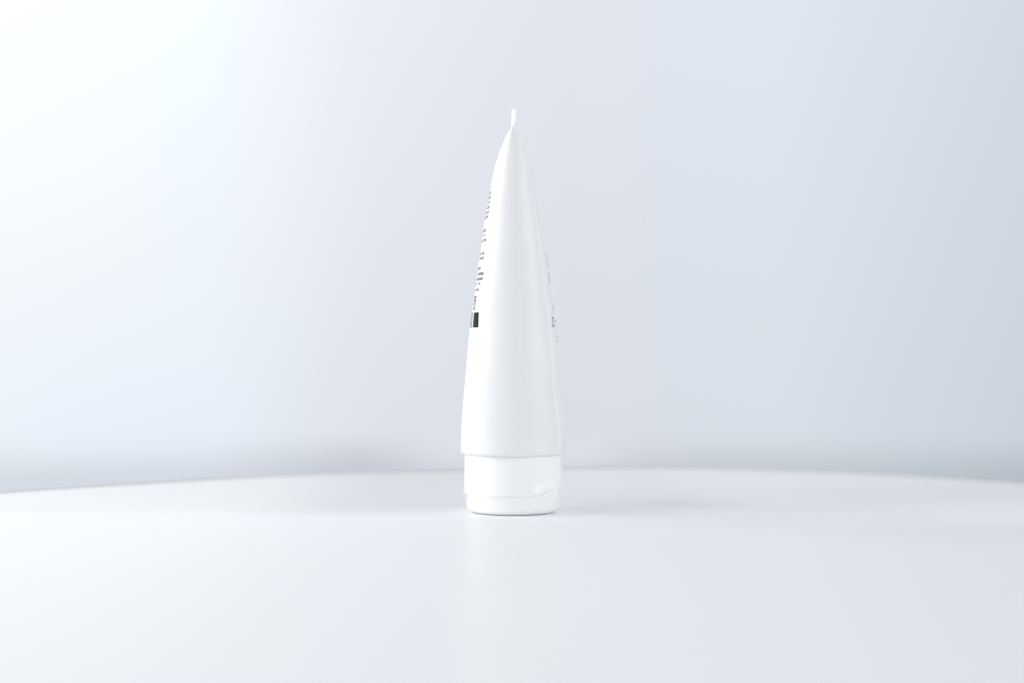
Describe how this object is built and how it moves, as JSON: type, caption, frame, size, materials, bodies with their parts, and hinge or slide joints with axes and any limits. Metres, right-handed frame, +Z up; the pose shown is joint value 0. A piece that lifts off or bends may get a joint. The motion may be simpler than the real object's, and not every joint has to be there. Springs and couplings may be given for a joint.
{
  "type": "styling cream tube",
  "caption": "White squeeze tube of cream with a flat crimped tail and a hinged flip-top cap, standing upside down on its lid.",
  "frame": {"origin": "centre of the lid's flat outer face, which rests on the table when the tube stands upside down", "axes": "+Z up the tube from the lid to the crimped tail; the crimp runs along X; the front panel and the thumb notch face -Y, the hinge and the back panel face +Y"},
  "size_m": [0.0628, 0.04, 0.1493],
  "materials": {
    "sleeve_plastic": "glossy white co-extruded polyethylene sleeve with small dark print in bars and dashes",
    "head_plastic": "plain white moulded polyethylene, satin",
    "cream": "off-white cream",
    "cap_plastic": "white moulded polypropylene, semi-gloss"
  },
  "bodies": {
    "tube": {"tube_sleeve": "sleeve_plastic", "tube_head": "head_plastic", "cream_fill": "cream", "cap_base": "cap_plastic"},
    "lid": {"cap_lid": "cap_plastic"}
  },
  "joints": [
    {"name": "lid_hinge", "type": "hinge", "parent": "tube", "child": "lid", "pos_m": [0, 0.01895, 0.00715], "axis": [1, 0, 0], "range_deg": [0, 170]}
  ]
}
